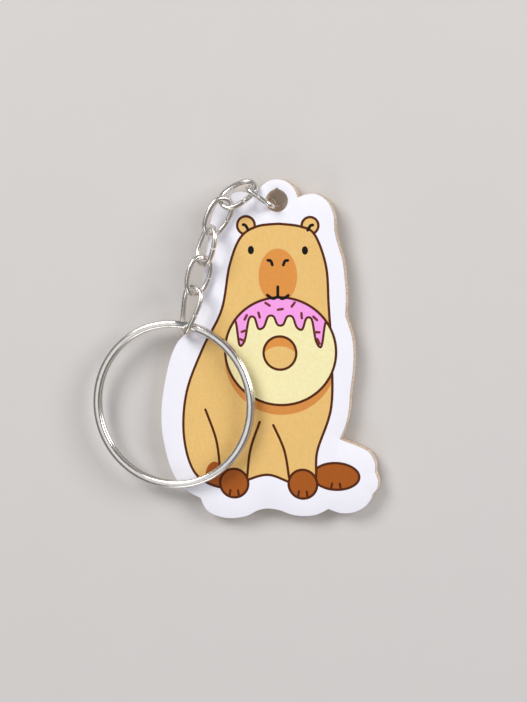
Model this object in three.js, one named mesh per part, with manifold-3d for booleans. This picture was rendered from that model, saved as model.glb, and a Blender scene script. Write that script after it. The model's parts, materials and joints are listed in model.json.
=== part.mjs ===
// A flat printed wooden charm with a hanging tab, a short cable chain and a split ring.
// Millimetres. The charm lies on its back: X runs to its right, +Y to the hanging tab and
// +Z out of the printed face. The origin is the middle of the board's back face.
import * as THREE from "three";
import { mergeVertices } from "three/addons/utils/BufferGeometryUtils.js";
import Module from "manifold-3d";

// ---- driving dimensions ------------------------------------------------------------------
const CHARM_WIDTH = 39.6; // left flank to the tip of the tail
const CHARM_HEIGHT = 58.8; // feet to ears, without the tab
const BOARD_THICKNESS = 2.85;
const FACE_THICKNESS = 0.15; // white printed coat on the front
const EDGE_STEP = 1.5; // spacing of the points along the cut edge

const TAB_RADIUS = 3.75;
const TAB_X = 1.6;
const TAB_SINK = 1.6; // tab centre below the top of the ears
const HOLE_RADIUS = 2.0;
const HOLE_SIDES = 28;
const NOTCH_DEPTH = 0.35; // nick where the laser entered the hole
const NOTCH_WIDTH = 0.9;

const WIRE = 0.95; // chain wire diameter
const WIRE_SIDES = 8;
const WIRE_STEPS = 40;
const HOOK_GAP = 0.3; // running gap between two hooked wires
const LIE_GAP = 0.25; // gap between the board and what lies on it or round it
const SEAM_GAP = 0.12; // butt joint left open in every link

const LINK_LENGTH = 7.8; // outside
const LINK_WIDTH = 5.2; // outside
const LINK_ROUNDNESS = 2.4; // 2 is an ellipse, more is squarer
const LINK_TWIST = -6; // degrees from a link's middle to its end

const HOLE_LINK_ROUNDNESS = 4.5;
const HOLE_LINK_IN = 247; // degrees round the hole, where its wire goes down the hole
const HOLE_LINK_OUT = 156; // degrees round the tab, where it comes back up
const HOLE_CLEARANCE = 0.5; // between the hole's wall and the wire in it
const OUTSIDE_CLEARANCE = 1.4; // between the tab's edge and the wire outside it

const END_LINK_LENGTH = 9.6; // outside
const END_LINK_WIDTH = 5.8; // outside
const END_LINK_ROUNDNESS = 3;
const END_LINK_TWIST = 18;
const END_LINK_ROLL = 48;

const RING_DIAMETER = 30.4; // outside
const RING_BAND = 1.35; // radial width of one coil
const RING_COIL = 0.9; // height of one coil
const RING_COIL_GAP = 0.1;
const RING_SIDES = 10; // points round the section of one coil
const RING_SQUARENESS = 0.6; // 1 is an oval section, 0 a sharp rectangle
const RING_STEPS = 110;
const RING_HANG = 261.5; // degrees from the end link to the ring's centre
const RING_TILT = -4; // degrees about Y: its free side is a little lower
const RING_JOG_FROM = 72; // degrees where the front coil ends
const RING_JOG_TO = 90; // degrees where the back coil ends

// How the chain lies: heading of each link in degrees from +X, and its roll about its length.
const CHAIN = [
  { heading: 214, roll: 33 },
  { heading: 243, roll: -42 },
  { heading: 254, roll: 42 },
  { heading: 254, roll: -42 },
];
const END_LINK_HEADING = 253;
const HOOK_DROP = 0.05; // the first link hooks this far below the printed face
const SEAT_STEP = 0.1; // the ring is raised in steps of this until the end link clears the board

// How far the links turn from where they lie, in degrees.
const TAB_TURN = 120; // the link through the hole, round the rim of the tab
const FIRST_TURN = 65; // the first link, round the wire outside the tab
const LIFT = 60; // every other link, up off the board

// Cut edge as smooth stretches that meet in sharp inner corners. It runs anticlockwise from the
// left of the tab, down the left flank, and ends right of the tab, behind which it closes.
const CUT_EDGE = [
  // left ear and flank
  [
    [-2.2, 27.0], [-3.2, 27.7], [-4.5, 28.15], [-5.9, 27.95], [-7.5, 27.25], [-8.95, 26.0],
    [-9.9, 24.3], [-10.45, 22.0], [-10.9, 18.75], [-11.5, 14.8], [-11.9, 11.1], [-12.25, 8.0],
    [-13.2, 5.2], [-14.8, 2.8], [-16.4, 1.1], [-17.7, -1.8], [-18.7, -5.9], [-19.35, -10.4],
    [-19.35, -14.6], [-18.7, -18.4], [-17.8, -21.6], [-16.4, -24.3], [-14.5, -26.0], [-12.3, -27.1],
  ],
  // feet
  [
    [-12.3, -27.1], [-11.1, -29.3], [-8.9, -30.35], [-6.6, -30.6], [-3.9, -30.1], [-1.8, -29.0],
    [0, -28.6], [2.15, -28.85], [4.1, -29.5], [6.25, -29.75], [8.75, -29.4], [10.9, -28.3],
  ],
  // under the tail
  [
    [10.9, -28.3], [13.05, -28.95], [15.35, -28.75], [17.3, -27.7], [18.4, -26.3], [18.6, -25.5],
  ],
  // tip of the tail
  [[18.6, -25.5], [19.5, -24.3], [19.65, -22.9], [19.1, -21.3]],
  // above the tail
  [[19.1, -21.3], [19.1, -19.8], [18.05, -17.9], [15.9, -16.8], [14.1, -16.2], [12.85, -15.7]],
  // right flank and ring cake
  [
    [12.85, -15.7], [13.85, -13.2], [14.45, -10.4], [14.65, -7.5], [15.1, -3.6], [15.25, -0.4],
    [14.9, 2.7], [13.75, 6.25],
  ],
  // right cheek and ear
  [
    [13.75, 6.25], [13.85, 9.3], [13.65, 12.5], [13.2, 16.1], [12.3, 19.1], [11.8, 21.3],
    [11.6, 24.1], [10.55, 26.4], [8.6, 27.7], [6.6, 27.6], [5.35, 27.15],
  ],
  // behind the tab
  [[5.35, 27.15], [3.9, 25.9], [-0.7, 25.9], [-2.2, 27.0]],
];

// ---- helpers -----------------------------------------------------------------------------
const wasm = await Module();
wasm.setup();

const rad = THREE.MathUtils.degToRad;

/** Unit vector at a heading in the XY plane and an elevation above it, both in radians. */
function direction(heading, elevation = 0) {
  const flat = Math.cos(elevation);
  return new THREE.Vector3(flat * Math.cos(heading), flat * Math.sin(heading), Math.sin(elevation));
}

/** A three.js geometry as a manifold-3d solid. */
function toSolid(geometry) {
  const bare = geometry.clone();
  bare.deleteAttribute("normal");
  bare.deleteAttribute("uv");
  const merged = mergeVertices(bare, 1e-4);
  return new wasm.Manifold(
    new wasm.Mesh({
      numProp: 3,
      vertProperties: merged.attributes.position.array,
      triVerts: new Uint32Array(merged.index.array),
    }),
  );
}

/** A manifold-3d solid as a three.js geometry. */
function toGeometry(solid) {
  const mesh = solid.getMesh();
  const geometry = new THREE.BufferGeometry();
  geometry.setAttribute("position", new THREE.BufferAttribute(mesh.vertProperties, 3));
  geometry.setIndex(new THREE.BufferAttribute(mesh.triVerts, 1));
  geometry.computeVertexNormals();
  return geometry;
}

/** A closed outline, extruded upwards from z = bottom. */
function slab(points, bottom, thickness) {
  const geometry = new THREE.ExtrudeGeometry(new THREE.Shape(points), {
    depth: thickness,
    bevelEnabled: false,
  });
  return toSolid(geometry.translate(0, 0, bottom));
}

/** An upright round bar standing at [x, y] from z = bottom. */
function bar(x, y, radius, bottom, height) {
  const geometry = new THREE.CylinderGeometry(radius, radius, height, HOLE_SIDES);
  geometry.rotateX(Math.PI / 2);
  return toSolid(geometry.translate(x, y, bottom + height / 2));
}

/** A sine or cosine raised to a power with its sign kept, which squares off a circle. */
function squared(value, power) {
  return Math.sign(value) * Math.abs(value) ** power;
}

/** Round wire section as a closed shape. */
function wireSection() {
  const points = [];
  for (let i = 0; i < WIRE_SIDES; i += 1) {
    const angle = (i * 2 * Math.PI) / WIRE_SIDES;
    points.push(new THREE.Vector2(Math.cos(angle), Math.sin(angle)).multiplyScalar(WIRE / 2));
  }
  return new THREE.Shape(points);
}

/** Flat wire section with rounded corners, for one coil of the split ring. */
function bandSection() {
  const points = [];
  for (let i = 0; i < RING_SIDES; i += 1) {
    const angle = ((i + 0.5) * 2 * Math.PI) / RING_SIDES;
    const high = squared(Math.sin(angle), RING_SQUARENESS) * (RING_COIL / 2);
    const wide = squared(Math.cos(angle), RING_SQUARENESS) * (RING_BAND / 2);
    points.push(new THREE.Vector2(high, wide));
  }
  return new THREE.Shape(points);
}

/**
 * Centre line of a wire link, lengthways along X. In its own plane it is a superellipse; the
 * plane rolls about X from -twist at one end to +twist at the other. It starts and ends at the
 * butt seam in the middle of one long side.
 */
class LinkCurve extends THREE.Curve {
  constructor(length, width, roundness, twist) {
    super();
    this.halfLength = (length - WIRE) / 2;
    this.halfWidth = (width - WIRE) / 2;
    this.power = 2 / roundness;
    this.twist = rad(twist);
    this.seam = Math.asin((SEAM_GAP / (2 * this.halfLength)) ** (1 / this.power));
    this.arcLengthDivisions = 400;
  }

  getPoint(t, target = new THREE.Vector3()) {
    const angle = Math.PI / 2 + this.seam + t * (2 * Math.PI - 2 * this.seam);
    const along = squared(Math.cos(angle), this.power);
    const across = squared(Math.sin(angle), this.power);
    const roll = this.twist * along;
    const width = this.halfWidth * across;
    return target.set(this.halfLength * along, width * Math.cos(roll), width * Math.sin(roll));
  }
}

/**
 * Centre line of the split ring about Z: almost two turns, one above the other, with a short
 * smooth step from the back coil to the front coil between the two wire ends.
 */
class RingCurve extends THREE.Curve {
  constructor() {
    super();
    this.radius = (RING_DIAMETER - RING_BAND) / 2;
    this.rise = RING_COIL + RING_COIL_GAP;
    this.step = rad(RING_JOG_TO - RING_JOG_FROM);
    this.turn = 2 * Math.PI - this.step;
    this.arcLengthDivisions = 800;
  }

  getPoint(t, target = new THREE.Vector3()) {
    const run = t * (2 * this.turn + this.step);
    const angle = rad(RING_JOG_TO) + run;
    const height = THREE.MathUtils.smoothstep(run, this.turn, this.turn + this.step) - 0.5;
    return target.set(
      this.radius * Math.cos(angle),
      this.radius * Math.sin(angle),
      this.rise * height,
    );
  }
}

/** Wire swept along a centre line. */
function sweep(section, curve, steps) {
  return new THREE.ExtrudeGeometry(section, { steps, extrudePath: curve, bevelEnabled: false });
}

/** A named mesh. */
function part(name, geometry, color, roughness, metalness) {
  const mesh = new THREE.Mesh(
    geometry,
    new THREE.MeshStandardMaterial({ color, roughness, metalness }),
  );
  mesh.name = name;
  return mesh;
}

// ---- charm -------------------------------------------------------------------------------
/** The cut edge at the charm's size, as evenly spaced points. */
function cutEdge() {
  const stretches = CUT_EDGE.map((stretch) => stretch.map(([x, y]) => new THREE.Vector2(x, y)));
  const drawn = new THREE.Box2().setFromPoints(stretches.flat()).getSize(new THREE.Vector2());
  const fit = new THREE.Vector2(CHARM_WIDTH, CHARM_HEIGHT).divide(drawn);
  const points = [];
  for (const stretch of stretches) {
    const curve = new THREE.SplineCurve(stretch.map((point) => point.multiply(fit)));
    const steps = Math.ceil(curve.getLength() / EDGE_STEP);
    points.push(...curve.getSpacedPoints(steps).slice(0, -1));
  }
  return points;
}

const edge = cutEdge();
const earTop = Math.max(...edge.map((p) => p.y));
const tab = new THREE.Vector3(TAB_X, earTop - TAB_SINK, 0);
const faceZ = BOARD_THICKNESS + FACE_THICKNESS;

/** One full layer of the charm as a solid: the cut outline with its tab, hole and laser nick. */
function layer(bottom, thickness) {
  const nick = [
    new THREE.Vector2(tab.x - NOTCH_WIDTH, tab.y + HOLE_RADIUS - NOTCH_WIDTH / 2),
    new THREE.Vector2(tab.x + NOTCH_WIDTH, tab.y + HOLE_RADIUS - NOTCH_WIDTH / 2),
    new THREE.Vector2(tab.x, tab.y + HOLE_RADIUS + NOTCH_DEPTH),
  ];
  const past = thickness; // a cut runs past both faces
  return slab(edge, bottom, thickness)
    .add(bar(tab.x, tab.y, TAB_RADIUS, bottom, thickness))
    .subtract(bar(tab.x, tab.y, HOLE_RADIUS, bottom - past, thickness + 2 * past))
    .subtract(slab(nick, bottom - past, thickness + 2 * past));
}

// ---- chain -------------------------------------------------------------------------------
const up = new THREE.Vector3(0, 0, 1);
const reach = WIRE + HOOK_GAP; // between the centres of two hooked wires

/** Turns a link's mesh so that its length lies along `ahead`, rolled by `roll`, about `centre`. */
function place(mesh, centre, ahead, roll) {
  const side = new THREE.Vector3().crossVectors(up, ahead).normalize();
  const top = new THREE.Vector3().crossVectors(ahead, side);
  const turn = new THREE.Matrix4().makeBasis(ahead, side, top);
  mesh.setRotationFromMatrix(turn.multiply(new THREE.Matrix4().makeRotationX(roll)));
  mesh.position.copy(centre);
}

/** Direction of the wire at the far end of a link placed by `place`. */
function endWire(mesh, twist) {
  const across = new THREE.Vector3(0, Math.cos(rad(twist)), Math.sin(rad(twist)));
  return across.applyQuaternion(mesh.quaternion);
}

/**
 * The joint of a link that heads along `ahead` and hooks round `wire` at `eye`. Its axis points
 * up out of the face, and its range runs from where the link lies to where it is lifted off.
 */
function hookJoint(parent, child, eye, wire, ahead) {
  const axis = wire.clone().multiplyScalar(Math.sign(wire.z));
  const lifts = new THREE.Vector3().crossVectors(axis, ahead).z > 0;
  const range = lifts ? [0, LIFT] : [-LIFT, 0];
  return { name: `${child}_hook`, parent, child, at: eye.clone(), axis, range };
}

/** Where a link that heads along `ahead` starts when it hooks round a wire at `eye`. */
function hookedStart(eye, wire, ahead) {
  const square = ahead.clone().addScaledVector(wire, -ahead.dot(wire)).normalize();
  return eye.clone().addScaledVector(square, -reach);
}

const charm = new THREE.Group();
charm.add(
  part("board", toGeometry(layer(0, BOARD_THICKNESS)), 0xd9bf97, 0.85, 0),
  part("printed_face", toGeometry(layer(BOARD_THICKNESS, FACE_THICKNESS)), 0xf4f2fa, 0.45, 0),
);

const steel = [0xcfc8c0, 0.25, 1];
const joints = [];

// The link through the hole stands upright, round the rim of the tab.
const down = tab.clone().addScaledVector(
  direction(rad(HOLE_LINK_IN)),
  HOLE_RADIUS - WIRE / 2 - HOLE_CLEARANCE,
);
const out = tab.clone().addScaledVector(
  direction(rad(HOLE_LINK_OUT)),
  TAB_RADIUS + WIRE / 2 + OUTSIDE_CLEARANCE,
);
const span = out.clone().sub(down);
const holeLinkLow = -LIE_GAP - WIRE;
const holeLinkHigh = faceZ + LIE_GAP + 2 * WIRE + 3 * HOOK_GAP; // the first link passes under it
const holeLink = part(
  "hole_link",
  sweep(
    wireSection(),
    new LinkCurve(
      span.length() + WIRE,
      holeLinkHigh - holeLinkLow,
      HOLE_LINK_ROUNDNESS,
      0,
    ),
    WIRE_STEPS,
  ),
  ...steel,
);
const holeLinkCentre = down.clone().add(out).multiplyScalar(0.5);
holeLinkCentre.z = (holeLinkLow + holeLinkHigh) / 2;
place(holeLink, holeLinkCentre, span.clone().normalize(), Math.PI / 2);
charm.add(holeLink);
joints.push({
  name: "hole_link_round_tab",
  parent: "board",
  child: "hole_link",
  at: tab.clone(),
  axis: up.clone(),
  range: [-TAB_TURN, 0],
});

// Four equal links, the first one rising on to the printed face.
const linkCurve = new LinkCurve(LINK_LENGTH, LINK_WIDTH, LINK_ROUNDNESS, LINK_TWIST);
const linkHalf = linkCurve.halfLength;
const lieRoll = rad(Math.abs(CHAIN[1].roll) + Math.abs(LINK_TWIST));
const chainZ = faceZ + LIE_GAP + WIRE / 2 + linkCurve.halfWidth * Math.sin(lieRoll);
let eye = out.clone().setZ(faceZ - HOOK_DROP);
let wire = up.clone();
let before = "hole_link";
CHAIN.forEach(({ heading, roll }, i) => {
  const climb = Math.asin((chainZ - eye.z) / (2 * linkHalf));
  const ahead = direction(rad(heading), i === 0 ? climb : 0);
  const start = hookedStart(eye, wire, ahead);
  const link = part(`chain_link_${i + 1}`, sweep(wireSection(), linkCurve, WIRE_STEPS), ...steel);
  place(link, start.clone().addScaledVector(ahead, linkHalf), ahead, rad(roll));
  charm.add(link);
  joints.push(hookJoint(before, link.name, eye, wire, ahead));
  eye = start.addScaledVector(ahead, 2 * linkHalf);
  wire = endWire(link, LINK_TWIST);
  before = link.name;
});
joints.find(({ child }) => child === "chain_link_1").range = [-FIRST_TURN, 0];

// The larger end link drops to the middle of the ring's two coils.
const endCurve = new LinkCurve(
  END_LINK_LENGTH,
  END_LINK_WIDTH,
  END_LINK_ROUNDNESS,
  END_LINK_TWIST,
);
const endHalf = endCurve.halfLength;

/** The end link for a ring whose eye is at height z, with where it heads and starts. */
function endLinkTo(z) {
  const ahead = direction(rad(END_LINK_HEADING), Math.asin((z - eye.z) / (2 * endHalf)));
  const start = hookedStart(eye, wire, ahead);
  const mesh = part("end_link", sweep(wireSection(), endCurve, WIRE_STEPS), ...steel);
  place(mesh, start.clone().addScaledVector(ahead, endHalf), ahead, rad(END_LINK_ROLL));
  mesh.updateMatrix();
  return { mesh, ahead, start };
}

// The ring is tilted, and lies its gap above the board at the board's left edge. It is higher
// where the end link would otherwise meet the board.
const hangLength = RING_DIAMETER / 2 - RING_BAND - HOOK_GAP - WIRE / 2;
const ringX =
  eye.x +
  2 * endHalf * Math.cos(rad(END_LINK_HEADING)) +
  hangLength * Math.cos(rad(RING_HANG));
const edgeLeft = Math.min(...edge.map((p) => p.x));
const ringRise = Math.max(0, ringX - edgeLeft) * Math.tan(rad(-RING_TILT));
let ringZ = faceZ + LIE_GAP + RING_COIL + RING_COIL_GAP / 2 + ringRise;
const charmSolid = layer(0, faceZ);
let endLink = endLinkTo(ringZ);
while (
  toSolid(endLink.mesh.geometry.clone().applyMatrix4(endLink.mesh.matrix)).minGap(
    charmSolid,
    LIE_GAP,
  ) < LIE_GAP
) {
  ringZ += SEAT_STEP;
  endLink = endLinkTo(ringZ);
}
charm.add(endLink.mesh);
joints.push(hookJoint(before, "end_link", eye, wire, endLink.ahead));

// ---- split ring --------------------------------------------------------------------------
const ringEye = endLink.start.clone().addScaledVector(endLink.ahead, 2 * endHalf);
const ring = part("split_ring", sweep(bandSection(), new RingCurve(), RING_STEPS), ...steel);
ring.rotation.set(0, rad(RING_TILT), 0);
const hang = direction(rad(RING_HANG)).applyQuaternion(ring.quaternion);
ring.position.copy(ringEye).addScaledVector(hang, hangLength);
charm.add(ring);
joints.push({
  name: "split_ring_spin",
  parent: "end_link",
  child: "split_ring",
  at: ring.position.clone(),
  axis: up.clone().applyQuaternion(ring.quaternion),
  continuous: true,
});

charm.userData.joints = joints;

export default charm;
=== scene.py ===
"""A flat printed wooden charm on a short wire chain with a two-turn split ring.

Sizes and point arrays are millimetres in the row frame: the charm lies on its back, +Y runs to the
hanging tab and +Z out of the printed face. Meshes are scaled to metres when they are made.
"""

import json  # noqa: E402
import logging  # noqa: E402
import math  # noqa: E402
from dataclasses import dataclass, field  # noqa: E402
from enum import Enum  # noqa: E402

import bmesh  # noqa: E402
import bpy  # noqa: E402
import numpy as np  # noqa: E402
from mathutils import Matrix, Vector  # noqa: E402
from mathutils.geometry import delaunay_2d_cdt, tessellate_polygon  # noqa: E402


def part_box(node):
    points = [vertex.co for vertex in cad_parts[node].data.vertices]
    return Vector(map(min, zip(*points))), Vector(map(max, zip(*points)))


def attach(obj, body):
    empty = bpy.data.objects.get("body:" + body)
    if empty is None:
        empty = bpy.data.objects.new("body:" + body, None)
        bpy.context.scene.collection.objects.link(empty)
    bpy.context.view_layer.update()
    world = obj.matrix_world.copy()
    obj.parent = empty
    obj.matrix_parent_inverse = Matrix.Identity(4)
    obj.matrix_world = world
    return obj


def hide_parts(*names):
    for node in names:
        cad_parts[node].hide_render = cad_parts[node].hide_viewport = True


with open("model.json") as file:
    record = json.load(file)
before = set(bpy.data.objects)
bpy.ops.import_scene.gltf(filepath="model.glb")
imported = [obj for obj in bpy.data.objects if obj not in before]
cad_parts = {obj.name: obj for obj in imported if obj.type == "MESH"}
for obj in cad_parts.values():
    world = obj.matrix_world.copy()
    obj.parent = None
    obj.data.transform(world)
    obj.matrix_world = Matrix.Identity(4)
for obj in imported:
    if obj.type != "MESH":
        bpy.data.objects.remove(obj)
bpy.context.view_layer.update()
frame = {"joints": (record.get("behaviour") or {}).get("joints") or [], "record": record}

MM = 0.001
RING_HANG = 261.5  # degrees from the end link to the ring's centre
BOX_MATCH = 0.15  # how far a piece may be off its node's box
LOG = logging.getLogger("keychain")

Array = np.ndarray
Colour = tuple[float, float, float]


# ---- curves ------------------------------------------------------------------------------
def smooth_path(knots: Array, spacing: float) -> Array:
    """Evenly spaced points on a uniform Catmull-Rom curve through knots.

    Between knots p and q with slopes v and w the point at t is
    p + v t + (3(q - p) - 2v - w) t^2 + (2(p - q) + v + w) t^3, and the slope at a knot is half
    of the step from the knot before it to the knot after it. The result is laid off by length.

    Args:
        knots: (n, 2) points.
        spacing: the wanted distance between points.

    Returns:
        (m, 2) points, the first and last knots among them.
    """
    knots = np.asarray(knots, float)
    padded = np.vstack([knots[:1], knots, knots[-1:]])
    slope = (padded[2:] - padded[:-2]) / 2
    t = np.linspace(0, 1, 33)[:, None, None]
    p, q, v, w = knots[:-1], knots[1:], slope[:-1], slope[1:]
    curve = p + v * t + (3 * (q - p) - 2 * v - w) * t**2 + (2 * (p - q) + v + w) * t**3
    dense = np.vstack([curve[:-1].transpose(1, 0, 2).reshape(-1, knots.shape[1]), knots[-1:]])
    return evenly(dense, spacing)


def evenly(dense: Array, spacing: float) -> Array:
    """Points at equal lengths along a dense open line, found by linear interpolation.

    Args:
        dense: (n, k) points of the line.
        spacing: the wanted distance between points.

    Returns:
        (m, k) points, the line's two ends among them.
    """
    run = np.concatenate([[0], np.cumsum(np.linalg.norm(np.diff(dense, axis=0), axis=1))])
    stations = np.linspace(0, run[-1], max(2, round(run[-1] / spacing) + 1))
    return np.stack([np.interp(stations, run, column) for column in dense.T], axis=1)


def loop_of(stretches: list, spacing: float) -> Array:
    """A closed loop made of smooth stretches that meet in sharp corners.

    Args:
        stretches: lists of knots, each starting where the one before it ends.
        spacing: the wanted distance between points.

    Returns:
        (n, 2) points without a repeated last point.
    """
    return np.vstack([smooth_path(stretch, spacing)[:-1] for stretch in stretches])


def ellipse(centre: tuple, half: tuple, count: int) -> Array:
    """An ellipse: centre + (a cos u, b sin u).

    Args:
        centre: its middle.
        half: its half sizes a and b.
        count: how many points.

    Returns:
        (count, 2) points, anticlockwise.
    """
    u = np.arange(count) * 2 * math.pi / count
    return np.array(centre) + np.stack([half[0] * np.cos(u), half[1] * np.sin(u)], axis=1)


def left_of(line: Array, closed: bool) -> Array:
    """Unit normals to the left of a line: the central difference turned by a quarter turn."""
    if closed:
        step = np.roll(line, -1, axis=0) - np.roll(line, 1, axis=0)
    else:
        step = np.gradient(line, axis=0)
    step = step / np.maximum(np.linalg.norm(step, axis=1, keepdims=True), 1e-9)
    return np.stack([-step[:, 1], step[:, 0]], axis=1)


def ribbon(line: Array, width: float) -> Array:
    """The closed edge of a pen line: both sides at half the width, with half-round ends.

    Args:
        line: (n, 2) points along its middle.
        width: the pen's width.

    Returns:
        (m, 2) points, anticlockwise.
    """
    half = width / 2
    side = left_of(line, closed=False) * half
    sweep = np.linspace(0, math.pi, 9)[1:-1, None]
    first, last = side[0], side[-1]
    ahead_last = np.array([last[1], -last[0]])
    ahead_first = np.array([first[1], -first[0]])
    end_cap = line[-1] - last * np.cos(sweep) + ahead_last * np.sin(sweep)
    start_cap = line[0] + first * np.cos(sweep) - ahead_first * np.sin(sweep)
    return np.vstack([line - side, end_cap, (line + side)[::-1], start_cap])


def winding(points: Array, loop: Array) -> Array:
    """How many times a loop winds round each point, from its crossings of a ray to the right.

    Args:
        points: (n, 2) points to test.
        loop: (m, 2) closed loop.

    Returns:
        (n,) whole numbers, 0 outside.
    """
    result = np.zeros(len(points), int)
    low, high = loop.min(axis=0), loop.max(axis=0)
    near = np.all((points >= low) & (points <= high), axis=1)
    x, y = points[near, 0:1], points[near, 1:2]
    a, b = loop, np.roll(loop, -1, axis=0)
    rising = (a[:, 1] <= y) & (b[:, 1] > y)
    falling = (a[:, 1] > y) & (b[:, 1] <= y)
    side = (b[:, 0] - a[:, 0]) * (y - a[:, 1]) - (x - a[:, 0]) * (b[:, 1] - a[:, 1])
    result[near] = (rising & (side > 0)).sum(axis=1) - (falling & (side < 0)).sum(axis=1)
    return result


# ---- surfaces ----------------------------------------------------------------------------
@dataclass
class Surface:
    """A mesh in the making: points in millimetres and faces with values at their corners."""

    points: list[Array] = field(default_factory=list)
    faces: list[Array] = field(default_factory=list)
    corner_uv: list[Array] = field(default_factory=list)
    corner_ink: list[Array] = field(default_factory=list)
    smooth: list[Array] = field(default_factory=list)
    marks: list[Array] = field(default_factory=list)

    def add(
        self,
        points: Array,
        faces: Array,
        uv: Array | None = None,
        ink: Array | None = None,
        mark: Array | float = 0.0,
        smooth: bool = True,
    ) -> None:
        """Adds one patch.

        Args:
            points: (n, 3) points.
            faces: (m, 3) or (m, 4) rows of indices into points.
            uv: (m, corners, 2) place of each corner along and round the piece.
            ink: (m, 3) colour of each face.
            mark: (n,) wear or scorch at each point, or one value.
            smooth: whether the patch is shaded round.
        """
        start = sum(len(p) for p in self.points)
        corners = faces.shape[1]
        self.points.append(points)
        self.faces.append(faces + start)
        self.corner_uv.append(
            np.zeros((faces.size, 2)) if uv is None else uv.reshape(-1, 2)
        )
        shade = np.ones((len(faces), 3)) if ink is None else ink
        self.corner_ink.append(np.repeat(shade, corners, axis=0))
        self.smooth.append(np.full(len(faces), smooth))
        self.marks.append(np.broadcast_to(np.asarray(mark, float), (len(points),)))

    def volume(self) -> float:
        """Six times the sum of a . (b x c) over the triangles, divided by six."""
        points = np.vstack(self.points)
        total = 0.0
        for faces in self.faces:
            for k in range(1, faces.shape[1] - 1):
                a, b, c = points[faces[:, 0]], points[faces[:, k]], points[faces[:, k + 1]]
                total += float(np.einsum("ij,ij->i", a, np.cross(b, c)).sum())
        return total / 6

    def build(self, name: str, material: bpy.types.Material) -> bpy.types.Object:
        """Makes the object at the origin, its loose edges welded and its faces outward.

        Args:
            name: the piece's name.
            material: its finish.

        Returns:
            The new object, linked to the scene.
        """
        mesh = bpy.data.meshes.new(name)
        rows = [row for block in self.faces for row in block.tolist()]
        mesh.from_pydata((np.vstack(self.points) * MM).tolist(), [], rows)
        uv = mesh.uv_layers.new(name="along")
        uv.data.foreach_set("uv", np.vstack(self.corner_uv).ravel())
        ink = mesh.attributes.new("ink", "FLOAT_COLOR", "CORNER")
        rgba = np.hstack([np.vstack(self.corner_ink), np.ones((len(mesh.loops), 1))])
        ink.data.foreach_set("color", rgba.ravel())
        mark = mesh.attributes.new("mark", "FLOAT", "POINT")
        mark.data.foreach_set("value", np.concatenate(self.marks))
        mesh.polygons.foreach_set("use_smooth", np.concatenate(self.smooth))
        weld = bmesh.new()
        weld.from_mesh(mesh)
        bmesh.ops.remove_doubles(weld, verts=weld.verts, dist=WELD * MM)
        if self.volume() < 0:
            bmesh.ops.reverse_faces(weld, faces=weld.faces)
        weld.to_mesh(mesh)
        weld.free()
        mesh.set_sharp_from_angle(angle=math.radians(SHARP_ANGLE))
        mesh.materials.append(material)
        made = bpy.data.objects.new(name, mesh)
        bpy.context.scene.collection.objects.link(made)
        return made


WELD = 0.0008
SHARP_ANGLE = 50.0


def grid_faces(rows: int, columns: int, around: bool) -> Array:
    """Quads of a grid of rows by columns; around joins the last column to the first."""
    i = np.arange(rows - 1)[:, None]
    j = np.arange(columns if around else columns - 1)[None, :]
    k = (j + 1) % columns
    quad = [i * columns + j, i * columns + k, (i + 1) * columns + k, (i + 1) * columns + j]
    return np.stack(quad, axis=-1).reshape(-1, 4)


def grid_uv(along: Array, across: Array, around: bool) -> Array:
    """Corner places for grid_faces, from the rows' and the columns' running lengths."""
    wide = np.append(across, 2 * across[-1] - across[-2]) if around else across
    v0, u0 = np.meshgrid(wide[:-1], along[:-1])
    v1, u1 = np.meshgrid(wide[1:], along[1:])
    corners = [(u0, v0), (u0, v1), (u1, v1), (u1, v0)]
    return np.stack([np.stack(c, axis=-1) for c in corners], axis=2).reshape(-1, 4, 2)


def skirt(surface: Surface, loop: Array, profile: Array) -> None:
    """Carries a profile round a closed loop: the wall of a cut sheet, with its rounded rims.

    The point for loop point p, with inward normal n, and profile row (inset, z) is
    (p + inset n, z). The inward normal is to the loop's left.

    Args:
        surface: what the wall is added to.
        loop: (n, 2) points, anticlockwise round an outside and clockwise round a hole.
        profile: (m, 3) rows of inset, z and mark, in order from the back to the front.
    """
    inward = left_of(loop, closed=True)
    flat = loop[None] + profile[:, 0, None, None] * inward[None]
    z = np.broadcast_to(profile[:, 1, None, None], flat.shape[:2] + (1,))
    points = np.concatenate([flat, z], axis=2).reshape(-1, 3)
    mark = np.repeat(profile[:, 2], len(loop))
    surface.add(points, grid_faces(len(profile), len(loop), around=True), mark=mark)


def fill(surface: Surface, loops: list[Array], z: float, up: bool, mark: float) -> None:
    """A flat face at height z inside the first loop and outside the others.

    Args:
        surface: what the face is added to.
        loops: the outside and the holes.
        z: the height.
        up: whether it faces +Z.
        mark: wear or scorch of its points.
    """
    flat = np.vstack(loops)
    as_3d = [np.column_stack([loop, np.zeros(len(loop))]).tolist() for loop in loops]
    faces = np.array(tessellate_polygon(as_3d))
    a, b, c = (flat[faces[:, k]] for k in range(3))
    turn = (b[:, 0] - a[:, 0]) * (c[:, 1] - a[:, 1]) - (b[:, 1] - a[:, 1]) * (c[:, 0] - a[:, 0])
    faces = np.where((turn > 0)[:, None] == up, faces, faces[:, ::-1])
    points = np.column_stack([flat, np.full(len(flat), z)])
    surface.add(points, faces, mark=mark, smooth=False)


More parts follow.
